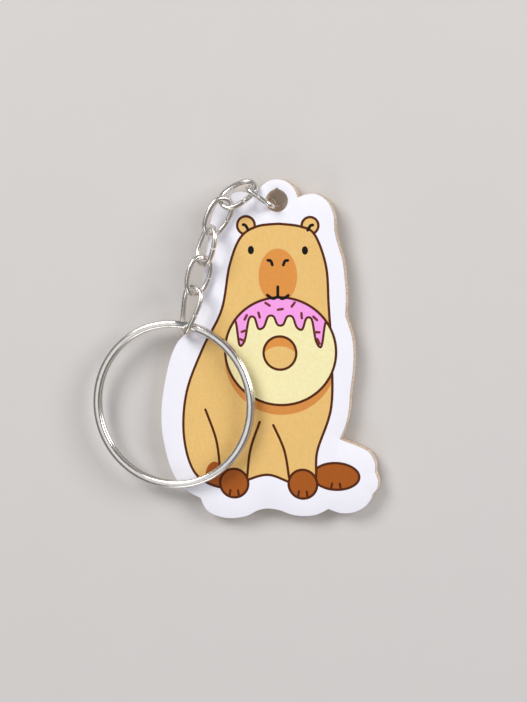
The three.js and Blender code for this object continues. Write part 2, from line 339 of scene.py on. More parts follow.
def tube(centre: Array, side: Array, top: Array, section: Array, rim: float) -> Surface:
    """A section carried along a path, with two flat ends whose rims are rounded.

    The point for row i and section point (x, y) is centre + k x side + l y top. Away from the
    ends k and l are 1. Within rim of an end, at depth d, the section is drawn in all round by
    rim - sqrt(rim^2 - (rim - d)^2). Each end is closed by a fan to its middle.

    Args:
        centre: (n, 3) evenly spaced points of the path.
        side: (n, 3) unit vectors of the section's x.
        top: (n, 3) unit vectors of the section's y.
        section: (m, 2) closed section.
        rim: radius of the rounded rim.

    Returns:
        The closed surface, its corner places in millimetres along and round it, and its marks 1
        where the section is furthest from its middle.
    """
    run = np.concatenate([[0], np.cumsum(np.linalg.norm(np.diff(centre, axis=0), axis=1))])
    depth = rim * (1 - np.cos(np.linspace(0, math.pi / 2, 5)))
    stations = np.concatenate([depth, run[(run > rim * 1.5) & (run < run[-1] - rim * 1.5)]])
    stations = np.concatenate([stations, (run[-1] - depth)[::-1]])
    end = np.minimum(np.minimum(stations, run[-1] - stations), rim)
    drawn = rim - np.sqrt(np.maximum(rim**2 - (rim - end) ** 2, 0))

    def at(values: Array) -> Array:
        """The values at the stations."""
        return np.stack([np.interp(stations, run, column) for column in values.T], axis=1)

    half = np.abs(section).max(axis=0)
    scale = 1 - drawn[:, None] / half[None]
    x = section[None, :, 0, None] * scale[:, 0, None, None]
    y = section[None, :, 1, None] * scale[:, 1, None, None]
    points = at(centre)[:, None] + x * at(side)[:, None] + y * at(top)[:, None]
    rows, columns = points.shape[:2]
    girth = np.linalg.norm(np.roll(section, -1, axis=0) - section, axis=1)
    across = np.concatenate([[0], np.cumsum(girth)[:-1]])
    reach = np.linalg.norm(section / half, axis=1)
    worn = np.clip((reach - reach.min()) / max(np.ptp(reach), 1e-6), 0, 1) * (np.ptp(reach) > 0.01)
    made = Surface()
    made.add(
        points.reshape(-1, 3),
        grid_faces(rows, columns, around=True),
        uv=grid_uv(stations, across, around=True),
        mark=np.tile(worn, rows),
    )
    around = np.arange(columns)
    for ring, flip in ((points[0], True), (points[-1], False)):
        fan = np.column_stack([around, (around + 1) % columns, np.full(columns, columns)])
        cap = np.vstack([ring, ring.mean(axis=0)])
        made.add(cap, fan[:, ::-1] if flip else fan, smooth=False)
    return made


# ---- shader tools ------------------------------------------------------------------------
def linear(colour: tuple[int, int, int]) -> Colour:
    """A screen colour of 0 to 255 as linear light: ((c + 0.055) / 1.055)^2.4 above 0.04."""
    c = np.array(colour) / 255
    light = np.where(c > 0.04045, ((c + 0.055) / 1.055) ** 2.4, c / 12.92)
    return tuple(float(v) for v in light)


class Tree:
    """A node tree that is written as calls: each returns the new node."""

    def __init__(self, tree: bpy.types.NodeTree) -> None:
        """Takes over a tree and empties it."""
        self.tree = tree
        tree.nodes.clear()

    def node(self, kind: str, inputs: dict | None = None, **settings: object) -> bpy.types.Node:
        """Adds a node.

        Args:
            kind: the node's type without its ShaderNode prefix.
            inputs: socket name or index to a value, or to an output socket to link.
            settings: attributes of the node.

        Returns:
            The node.
        """
        made = self.tree.nodes.new(kind if kind.startswith("Node") else "ShaderNode" + kind)
        for key, value in settings.items():
            setattr(made, key, value)
        for key, value in (inputs or {}).items():
            if isinstance(value, bpy.types.NodeSocket):
                self.tree.links.new(value, made.inputs[key])
            else:
                made.inputs[key].default_value = value
        return made

    def math(self, operation: str, a: object, b: object = 0.0) -> bpy.types.NodeSocket:
        """The output of a Math node."""
        return self.node("Math", {0: a, 1: b}, operation=operation).outputs[0]

    def spread(self, value: object, low: float, high: float) -> bpy.types.NodeSocket:
        """Maps 0 to 1 on to low to high."""
        return self.node("MapRange", {0: value, 3: low, 4: high}).outputs[0]

    def blend(self, share: object, a: object, b: object, mode: str = "MIX") -> bpy.types.NodeSocket:
        """Mixes two colours."""
        mix = self.node(
            "Mix", {"Factor": share}, data_type="RGBA", blend_type=mode, clamp_factor=True
        )
        for socket, value in zip((mix.inputs[6], mix.inputs[7]), (a, b)):
            if isinstance(value, bpy.types.NodeSocket):
                self.tree.links.new(value, socket)
            else:
                socket.default_value = (*value[:3], 1.0)
        return mix.outputs[2]


def shader_group(name: str, inputs: dict[str, float | str], output: str) -> tuple[object, ...]:
    """Starts a node group with named inputs and one value output.

    Args:
        name: the group's name.
        inputs: socket name to its first value, or to "vector".
        output: the name of the value that it puts out.

    Returns:
        The group, its tree, its input node and its output node.
    """
    group = bpy.data.node_groups.new(name, "ShaderNodeTree")
    for socket, value in inputs.items():
        kind = "NodeSocketVector" if value == "vector" else "NodeSocketFloat"
        made = group.interface.new_socket(socket, in_out="INPUT", socket_type=kind)
        if kind == "NodeSocketFloat":
            made.default_value = value
    group.interface.new_socket(output, in_out="OUTPUT", socket_type="NodeSocketFloat")
    tree = Tree(group)
    return group, tree, tree.node("NodeGroupInput"), tree.node("NodeGroupOutput")


class Effects:
    """The shader groups that several finishes share, each made once."""

    def __init__(self) -> None:
        """Makes the three groups."""
        self.fibre = self._fibre()
        self.mottle = self._mottle()
        self.scratches = self._scratches()

    @staticmethod
    def _fibre() -> bpy.types.NodeTree:
        """Streaks: noise whose place is multiplied by a fineness on each axis, with contrast."""
        names = {"Vector": "vector", "Fineness X": 3.0, "Fineness Y": 1.0, "Fineness Z": 1.0}
        group, tree, given, out = shader_group("fibre streaks", {**names, "Contrast": 1.0}, "Streak")
        fine = tree.node("CombineXYZ", {k: given.outputs[f"Fineness {a}"] for k, a in enumerate("XYZ")})
        both = {0: given.outputs["Vector"], 1: fine.outputs[0]}
        place = tree.node("VectorMath", both, operation="MULTIPLY")
        settings = {"Vector": place.outputs[0], "Scale": 1.0, "Detail": 3.0, "Roughness": 0.6}
        noise = tree.node("TexNoise", settings)
        centred = tree.math("SUBTRACT", noise.outputs["Fac"], 0.5)
        strong = tree.math("MULTIPLY", centred, given.outputs["Contrast"])
        total = tree.node("Math", {0: strong, 1: 0.5}, operation="ADD", use_clamp=True)
        tree.tree.links.new(total.outputs[0], out.inputs[0])
        return group

    @staticmethod
    def _mottle() -> bpy.types.NodeTree:
        """Blotches: coarse noise and noise four times finer, two parts to one."""
        group, tree, given, out = shader_group("mottle", {"Vector": "vector", "Fineness": 100.0}, "Blotch")
        fine = tree.math("MULTIPLY", given.outputs["Fineness"], 4.0)
        place = given.outputs["Vector"]
        coarse = tree.node("TexNoise", {"Vector": place, "Scale": given.outputs["Fineness"]})
        small = tree.node("TexNoise", {"Vector": place, "Scale": fine, "Detail": 4.0})
        two = tree.math("MULTIPLY", coarse.outputs["Fac"], 2.0)
        total = tree.math("ADD", two, small.outputs["Fac"])
        tree.tree.links.new(tree.math("DIVIDE", total, 3.0), out.inputs[0])
        return group

    @staticmethod
    def _scratches() -> bpy.types.NodeTree:
        """Hairlines: where stretched noise, bent by other noise, crosses its middle value."""
        names = {"Vector": "vector", "Along": 0.3, "Across": 4.0, "Width": 0.02}
        group, tree, given, out = shader_group("scratches", names, "Scratch")
        stretch = tree.node("CombineXYZ", {0: given.outputs["Along"], 1: given.outputs["Across"], 2: 1.0})
        bend = tree.node("TexNoise", {"Vector": given.outputs["Vector"], "Scale": 0.35})
        both = {0: given.outputs["Vector"], 1: bend.outputs["Color"]}
        bent = tree.node("VectorMath", both, operation="ADD")
        place = tree.node("VectorMath", {0: bent.outputs[0], 1: stretch.outputs[0]}, operation="MULTIPLY")
        noise = tree.node("TexNoise", {"Vector": place.outputs[0], "Scale": 1.0, "Detail": 1.0})
        off = tree.math("ABSOLUTE", tree.math("SUBTRACT", noise.outputs["Fac"], 0.5))
        line = tree.node("MapRange", {0: off, 1: 0.0, 2: given.outputs["Width"], 3: 1.0, 4: 0.0})
        tree.tree.links.new(line.outputs[0], out.inputs[0])
        return group


@dataclass(frozen=True)
class Finish:
    """What every finish has: a name and the shared effects."""

    name: str
    effects: Effects

    def start(self) -> tuple[bpy.types.Material, Tree]:
        """A new material and its emptied tree."""
        made = bpy.data.materials.new(self.name)
        made.use_nodes = True
        return made, Tree(made.node_tree)

    @staticmethod
    def end(tree: Tree, inputs: dict) -> None:
        """Joins a Principled shader with these inputs to the material's output."""
        shader = tree.node("BsdfPrincipled", inputs)
        tree.node("OutputMaterial", {"Surface": shader.outputs[0]})

    def effect(self, tree: Tree, group: bpy.types.NodeTree, inputs: dict) -> bpy.types.NodeSocket:
        """The output of a shared effect placed in this finish."""
        placed = tree.node("Group", node_tree=group)
        for key, value in inputs.items():
            if isinstance(value, bpy.types.NodeSocket):
                tree.tree.links.new(value, placed.inputs[key])
            else:
                placed.inputs[key].default_value = value
        return placed.outputs[0]


@dataclass(frozen=True)
class PrintFinish(Finish):
    """Printed ink on a white ground: flat colours over faint upright wood fibres."""

    streak: float = 0.06
    speckle: float = 0.22
    hue: float = 0.16
    roughness: tuple[float, float] = (0.36, 0.5)

    def material(self) -> bpy.types.Material:
        """Makes the material. Each face's own colour is its ink attribute."""
        made, tree = self.start()
        place = tree.node("TexCoord").outputs["Object"]
        ink = tree.node("Attribute", attribute_name="ink").outputs["Color"]
        fineness = {"Fineness X": 2600.0, "Fineness Y": 420.0, "Fineness Z": 400.0}
        fibre = self.effect(tree, self.effects.fibre, {"Vector": place, **fineness, "Contrast": 1.5})
        dots = self.effect(tree, self.effects.mottle, {"Vector": place, "Fineness": 2300.0})
        cloud = self.effect(tree, self.effects.mottle, {"Vector": place, "Fineness": 90.0})
        grain = self.effect(tree, self.effects.mottle, {"Vector": place, "Fineness": 950.0})
        level = tree.math(
            "MULTIPLY",
            tree.spread(fibre, 1 - self.streak / 2, 1 + self.streak / 2),
            tree.spread(dots, 1 - self.speckle / 2, 1 + self.speckle / 2),
        )
        level = tree.math("MULTIPLY", level, tree.spread(cloud, 0.975, 1.015))
        # white takes up less of the texture than ink does
        paleness = tree.node("SeparateColor", {0: ink}).outputs["Blue"]
        share = tree.node("MapRange", {0: paleness, 1: 0.55, 2: 0.95, 3: 1.0, 4: 0.25}).outputs[0]
        green = tree.math("MULTIPLY", level, tree.spread(grain, 1 - self.hue / 2, 1 + self.hue / 2))
        blue = tree.math("MULTIPLY", level, tree.spread(grain, 1 - self.hue * 1.5, 1 + self.hue * 1.5))
        tint = tree.node("CombineColor", {0: level, 1: green, 2: blue}).outputs[0]
        toned = tree.blend(share, ink, tree.blend(1.0, ink, tint, "MULTIPLY"))
        height = tree.math("ADD", fibre, tree.math("MULTIPLY", dots, 0.6))
        bump = tree.node("Bump", {"Strength": 0.25, "Distance": 0.00002, "Height": height})
        self.end(
            tree,
            {
                "Base Color": toned,
                "Roughness": tree.spread(dots, *self.roughness),
                "Normal": bump.outputs[0],
                "IOR": 1.46,
                "Specular IOR Level": 0.2,
            },
        )
        return made


@dataclass(frozen=True)
class WoodFinish(Finish):
    """Bare pale wood, toasted where the laser cut it."""

    pale: Colour = (0.76, 0.60, 0.40)
    dark: Colour = (0.55, 0.38, 0.21)
    cut: Colour = (0.88, 0.74, 0.60)
    toasted: Colour = (0.60, 0.40, 0.24)
    burnt: Colour = (0.10, 0.045, 0.018)
    thickness: float = 2.85 * MM

    def material(self) -> bpy.types.Material:
        """Makes the material: grain along Y, upright laser marks and burnt rims by the mark."""
        made, tree = self.start()
        place = tree.node("TexCoord").outputs["Object"]
        mark = tree.node("Attribute", attribute_name="mark").outputs["Fac"]
        height = tree.node("SeparateXYZ", {0: place}).outputs["Z"]
        grain = self.effect(
            tree,
            self.effects.fibre,
            {"Vector": place, "Fineness X": 900.0, "Fineness Y": 35.0, "Fineness Z": 900.0, "Contrast": 2.0},
        )
        fineness = {"Fineness X": 3800.0, "Fineness Y": 260.0, "Fineness Z": 900.0}
        rays = self.effect(tree, self.effects.fibre, {"Vector": place, **fineness, "Contrast": 1.6})
        fineness = {"Fineness X": 3600.0, "Fineness Y": 3600.0, "Fineness Z": 160.0}
        laser = self.effect(tree, self.effects.fibre, {"Vector": place, **fineness, "Contrast": 2.2})
        blotch = self.effect(tree, self.effects.mottle, {"Vector": place, "Fineness": 220.0})
        wood = tree.blend(tree.spread(grain, 0.0, 0.75), self.pale, self.dark)
        wood = tree.blend(tree.spread(rays, 0.0, 0.35), wood, (0.60, 0.43, 0.25))
        # the cut wall carries a mark of 0.2 or more, and its two rims more still
        on_wall = tree.node("MapRange", {0: mark, 1: 0.1, 2: 0.2, 3: 0.0, 4: 1.0}).outputs[0]
        depth = tree.node("MapRange", {0: height, 1: 0.0, 2: self.thickness, 3: 0.45, 4: 0.0}).outputs[0]
        toast = tree.math("ADD", depth, tree.spread(laser, -0.3, 0.7))
        cut = tree.blend(toast, self.cut, self.toasted)
        edged = tree.blend(on_wall, wood, cut)
        uneven = tree.math("ADD", mark, tree.spread(blotch, -0.25, 0.25))
        scorch = tree.node("MapRange", {0: uneven, 1: 0.35, 2: 1.05})
        colour = tree.blend(scorch.outputs[0], edged, self.burnt)
        relief = tree.math("ADD", rays, tree.math("MULTIPLY", on_wall, laser))
        bump = tree.node("Bump", {"Strength": 0.45, "Distance": 0.00004, "Height": relief})
        self.end(
            tree,
            {
                "Base Color": colour,
                "Roughness": tree.spread(blotch, 0.62, 0.85),
                "Normal": bump.outputs[0],
                "Specular IOR Level": 0.3,
            },
        )
        return made


@dataclass(frozen=True)
class NickelFinish(Finish):
    """Bright nickel plate over drawn wire, with fine drawing lines, scratches and rubbed corners."""

    colour: Colour = (0.80, 0.765, 0.72)
    dull: Colour = (0.55, 0.50, 0.45)
    roughness: tuple[float, float] = (0.14, 0.32)
    drawn: float = 0.35
    worn: float = 0.06

    def material(self) -> bpy.types.Material:
        """Makes the material. Its lines follow the piece's own along and round places."""
        made, tree = self.start()
        place = tree.node("TexCoord").outputs["Object"]
        mark = tree.node("Attribute", attribute_name="mark").outputs["Fac"]
        along = tree.node("UVMap", uv_map="along").outputs[0]
        lines = self.effect(
            tree,
            self.effects.fibre,
            {"Vector": along, "Fineness X": 0.9, "Fineness Y": 14.0, "Fineness Z": 1.0, "Contrast": 1.4},
        )
        hair = self.effect(
            tree,
            self.effects.scratches,
            {"Vector": along, "Along": 0.8, "Across": 2.6, "Width": 0.012},
        )
        blotch = self.effect(tree, self.effects.mottle, {"Vector": place, "Fineness": 420.0})
        haze = self.effect(tree, self.effects.mottle, {"Vector": place, "Fineness": 120.0})
        tarnish = tree.node("MapRange", {0: blotch, 1: 0.5, 2: 0.72, 3: 0.0, 4: 0.45}).outputs[0]
        colour = tree.blend(tarnish, self.colour, self.dull)
        colour = tree.blend(tree.math("MULTIPLY", hair, 0.25), colour, (0.9, 0.88, 0.85))
        rough = tree.math(
            "ADD",
            tree.spread(haze, *self.roughness),
            tree.math("MULTIPLY", lines, self.worn),
        )
        rubbed = tree.math("SUBTRACT", rough, tree.math("MULTIPLY", mark, self.worn))
        relief = tree.math(
            "SUBTRACT",
            tree.math("MULTIPLY", lines, self.drawn),
            tree.math("MULTIPLY", hair, 0.5),
        )
        bump = tree.node("Bump", {"Strength": 0.3, "Distance": 0.00001, "Height": relief})
        self.end(
            tree,
            {
                "Base Color": colour,
                "Metallic": 1.0,
                "Roughness": rubbed,
                "Normal": bump.outputs[0],
            },
        )
        return made


@dataclass(frozen=True)
class TableFinish(Finish):
    """Plain pale board for the studio floor.

    It is clear from below, and to soft light over a gap narrower than near, so that a view from
    below shows the charm's back in the light of the lamp under the table.
    """

    colour: Colour = (0.66, 0.635, 0.62)
    near: float = 2.0 * MM

    def material(self) -> bpy.types.Material:
        """Makes the material."""
        made, tree = self.start()
        place = tree.node("TexCoord").outputs["Object"]
        blotch = self.effect(tree, self.effects.mottle, {"Vector": place, "Fineness": 60.0})
        tone = tree.blend(tree.spread(blotch, 0.0, 0.3), self.colour, (0.60, 0.575, 0.56))
        matt = {"Base Color": tone, "Roughness": 0.9, "Specular IOR Level": 0.15}
        shader = tree.node("BsdfPrincipled", matt)
        clear = tree.node("BsdfTransparent")
        behind = tree.node("NewGeometry").outputs["Backfacing"]
        path = tree.node("LightPath").outputs
        soft = tree.math("MAXIMUM", path["Is Shadow Ray"], path["Is Diffuse Ray"])
        under = tree.math("MULTIPLY", soft, tree.math("LESS_THAN", path["Ray Length"], self.near))
        through = tree.math("MAXIMUM", behind, under)
        mixed = tree.node("MixShader", {0: through, 1: shader.outputs[0], 2: clear.outputs[0]})
        tree.node("OutputMaterial", {"Surface": mixed.outputs[0]})
        return made


# ---- charm -------------------------------------------------------------------------------
class Ink(Enum):
    """The printed colours, as screen colours of 0 to 255."""

    WHITE = (245, 243, 251)
    COAT = (235, 192, 118)
    MUZZLE = (224, 148, 70)
    SHADE = (216, 142, 70)
    FEET = (168, 88, 26)
    LINE = (84, 36, 6)
    BLACK = (16, 8, 6)
    ICING = (249, 162, 232)
    CAKE = (247, 236, 182)
    SPRINKLE = (116, 46, 44)

    def light(self) -> Colour:
        """The colour as linear light."""
        return linear(self.value)


@dataclass
class InkShape:
    """One printed shape: loops whose windings add up, inside another shape if it has a mask."""

    ink: Ink
    loops: list[Array]
    mask: Array | None = None

    def covers(self, points: Array) -> Array:
        """Whether each point lies in the shape: the sum of the windings isn't zero."""
        inside = sum(winding(points, loop) for loop in self.loops) != 0
        return inside if self.mask is None else inside & (winding(points, self.mask) != 0)


@dataclass
class Artwork:
    """The picture: a seated animal that holds a ring cake, as flat shapes and pen lines."""

    spacing: float = 0.13
    pen: float = 0.46
    face_pen: float = 0.54
    fine_pen: float = 0.42
    icing_crest: float = 6.4
    crest_fall: float = 0.9
    icing_trough: float = 4.6
    icing_sag: float = 9.0
    sag_power: float = 2.5
    icing_pitch: float = 3.46
    icing_round: float = 1.5
    icing_over: float = 0.5
    drips: int = 5
    sprinkle: tuple[float, float] = (1.35, 0.46)
    sprinkle_rows: tuple[float, float] = (7.5, 8.7)
    sprinkles_aside: int = 4
    sprinkle_step: float = 15.5
    sprinkle_turn: float = 137.5
    drip_sprinkle: float = 1.9
    cake_centre: tuple[float, float] = (2.26, -0.21)
    cake_half: tuple[float, float] = (10.09, 9.63)
    hole_centre: tuple[float, float] = (2.19, -0.52)
    hole_radius: float = 2.97
    shade_centre: tuple[float, float] = (2.26, -1.5)
    shade_half: tuple[float, float] = (10.2, 10.1)

    # a round body and head in one line, anticlockwise from the top of the head
    body_knots = [
        (2.0, 22.5), (-2.0, 22.0), (-5.0, 20.0), (-7.0, 15.0), (-8.5, 7.0), (-12.0, 0.0),
        (-15.0, -8.0), (-15.5, -16.0), (-13.5, -22.5), (-9.0, -25.0), (-5.0, -24.0), (0.0, -22.5),
        (5.0, -24.0), (8.5, -23.5), (9.0, -18.0), (11.5, -10.0), (11.5, 0.0), (11.0, 8.0),
        (10.5, 15.0), (8.5, 20.5), (6.0, 22.0), (2.0, 22.5),
    ]  # fmt: skip

    # ellipses, each a centre and its half sizes
    ears = (((-4.0, 22.2), (1.6, 1.6)), ((7.6, 22.2), (1.5, 1.5)))
    far_foot = ((12.4, -22.4), (4.2, 2.4))
    heel = ((-9.8, -23.0), (1.7, 2.6))
    feet = (((-6.2, -24.2), (2.6, 2.6)), ((6.4, -24.0), (2.6, 2.6)))
    muzzle = ((1.8, 13.2), (3.5, 4.9))
    hole_light = ((2.2, -3.3), (4.0, 4.0))

    # lines of the legs, and one toe line measured from a foot's middle, mirrored for the other
    leg_lines = [
        [(-11.5, -11.0), (-9.5, -16.5), (-8.8, -22.0)],
        [(-1.5, -13.0), (-3.2, -18.0), (-3.8, -23.0)],
        [(1.0, -13.5), (3.0, -18.0), (3.9, -23.0)],
    ]
    toe = [(0.85, -2.3), (0.8, -1.8), (0.7, -1.3)]

    # one half of the face, measured from the muzzle's middle and mirrored for the other
    nostril = [(1.8, 2.8), (1.3, 2.7), (1.0, 2.0)]
    lip = [(0.0, -3.6), (0.9, -4.0), (1.9, -3.4)]
    chin_line = [(0.0, -1.9), (0.0, -2.7), (0.0, -3.6)]
    eye = ((4.9, 4.6), (0.56, 0.75))
    ear_fold = [(0.5, 0.1), (0.1, 0.0), (-0.4, -0.8)]

    def path(self, knots: list) -> Array:
        """A smooth line through knots."""
        return smooth_path(np.array(knots, float), self.spacing)

    def pens(self, ink: Ink, stretches: list, width: float) -> list[InkShape]:
        """Pen lines of one ink along stretches, each with round ends."""
        return [InkShape(ink, [ribbon(self.path(s), width)]) for s in stretches]

    def rim(self, centre: tuple, half: tuple, width: float) -> InkShape:
        """A pen line round an ellipse: its outer loop forwards and its inner loop backwards."""
        out = ellipse(centre, (half[0] + width / 2, half[1] + width / 2), count=300)
        inner = ellipse(centre, (half[0] - width / 2, half[1] - width / 2), count=300)
        return InkShape(Ink.LINE, [out, inner[::-1]])

    def round_patch(self, ink: Ink, patch: tuple, mask: Array | None = None) -> InkShape:
        """A filled ellipse of one ink from its centre and half sizes, kept inside mask."""
        return InkShape(ink, [ellipse(*patch, count=160)], mask=mask)

    def both_ways(self, line: list, origin: tuple) -> list[list]:
        """A line measured from origin, and the same line mirrored to the other side."""
        return [[(origin[0] + side * x, origin[1] + y) for x, y in line] for side in (1, -1)]

    def face(self) -> list[InkShape]:
        """Nostrils, mouth, ear folds and eyes, the same to both sides of the muzzle's middle."""
        middle = self.muzzle[0]
        (eye_x, eye_y), eye_half = self.eye
        lines = [*self.both_ways(self.nostril, middle), *self.both_ways(self.lip, middle)]
        lines.append(self.both_ways(self.chin_line, middle)[0])
        lines += [self.both_ways(self.ear_fold, ear[0])[side] for side, ear in zip((1, 0), self.ears)]
        laid = self.pens(Ink.BLACK, lines, self.face_pen)
        for side in (-1, 1):
            spot = (middle[0] + side * eye_x, middle[1] + eye_y)
            laid.append(self.round_patch(Ink.BLACK, (spot, eye_half)))
        return laid

    def foot(self, patch: tuple) -> list[InkShape]:
        """A round foot with its pen line and two toe lines."""
        toes = self.pens(Ink.LINE, self.both_ways(self.toe, patch[0]), self.fine_pen)
        return [self.round_patch(Ink.FEET, patch), self.rim(*patch, self.pen), *toes]

    def shapes(self) -> list[InkShape]:
        """Every shape in the order in which it is laid down, the last one on top."""
        body = self.path(self.body_knots)[:-1]
        shade = (self.shade_centre, self.shade_half)
        laid = self.foot(self.far_foot)
        for ear in self.ears:
            laid += [self.round_patch(Ink.COAT, ear), self.rim(*ear, self.pen)]
        laid.append(InkShape(Ink.COAT, [body]))
        laid.append(self.round_patch(Ink.FEET, self.heel, body))
        laid.append(self.round_patch(Ink.SHADE, shade, body))
        laid.append(self.round_patch(Ink.MUZZLE, self.muzzle))
        laid += self.pens(Ink.LINE, [self.body_knots, *self.leg_lines], self.pen)
        for patch in self.feet:
            laid += self.foot(patch)
        return laid + self.cake() + self.face()

    def cake(self) -> list[InkShape]:
        """The ring cake with its icing, sprinkles and hole."""
        whole = ellipse(self.cake_centre, self.cake_half, count=300)
        hole_half = (self.hole_radius, self.hole_radius)
        hole = ellipse(self.hole_centre, hole_half, count=120)
        drips = self.icing_edge()
        x, y = (half + self.icing_over for half in self.cake_half)
        over = np.array([(x, 0.0), (x, y), (-x, y), (-x, 0.0)]) + self.cake_centre
        over[0, 1], over[3, 1] = drips[-1, 1], drips[0, 1]
        laid = [
            InkShape(Ink.CAKE, [whole]),
            InkShape(Ink.ICING, [np.vstack([drips, over])], mask=whole),
            InkShape(Ink.MUZZLE, [hole]),
            self.round_patch(Ink.COAT, self.hole_light, hole),
        ]
        laid.append(InkShape(Ink.LINE, [ribbon(drips[winding(drips, whole) != 0], self.fine_pen)]))
        laid += self.sprinkles()
        laid.append(self.rim(self.hole_centre, hole_half, self.pen))
        laid.append(self.rim(self.cake_centre, self.cake_half, self.pen))
        return laid

    def icing_edge(self) -> Array:
        """The icing's lower edge from left to right: a row of drips, longer to both sides.

        With u the distance from the middle as a share of the cake's half width, the crests lie at
        icing_crest - crest_fall u^2 and the troughs at icing_trough - icing_sag u^sag_power, both
        above the cake's middle. The tanh of a cosine runs from one to the other, which rounds
        the drips.

        Returns:
            (n, 2) points, from the crest before the first drip to the crest after the last one.
        """
        reach = self.drips * self.icing_pitch / 2
        x = np.linspace(-reach, reach, round(2 * reach / self.spacing) + 1)
        u = np.abs(x) / self.cake_half[0]
        crest = self.icing_crest - self.crest_fall * u**2
        trough = self.icing_trough - self.icing_sag * u**self.sag_power
        wave = np.tanh(self.icing_round * np.cos(2 * math.pi * x / self.icing_pitch))
        drip = (1 + wave / math.tanh(self.icing_round)) / 2
        edge = np.stack([x, crest - drip * (crest - trough)], axis=1)
        return evenly(edge + self.cake_centre, self.spacing)

    def sprinkles(self) -> list[InkShape]:
        """Sprinkles at even angles from the top of the cake, in two rows, and one in each outer drip."""
        k = np.arange(-self.sprinkles_aside, self.sprinkles_aside + 1)
        angle = np.radians(90 + self.sprinkle_step * k)
        row = np.where(k % 2 == 0, *self.sprinkle_rows)
        places = np.stack([row * np.cos(angle), row * np.sin(angle)], axis=1)
        outer = (self.drips // 2) * self.icing_pitch
        in_drips = [(-outer, self.drip_sprinkle), (outer, self.drip_sprinkle)]
        places = np.vstack([places, in_drips]) + self.cake_centre
        turns = np.radians(self.sprinkle_turn * np.arange(len(places)))
        length, width = self.sprinkle
        made = []
        for place, turn in zip(places, turns):
            half = np.array([math.cos(turn), math.sin(turn)]) * (length - width) / 2
            line = evenly(np.array([place - half, place + half]), self.spacing)
            made.append(InkShape(Ink.SPRINKLE, [ribbon(line, width)]))
        return made


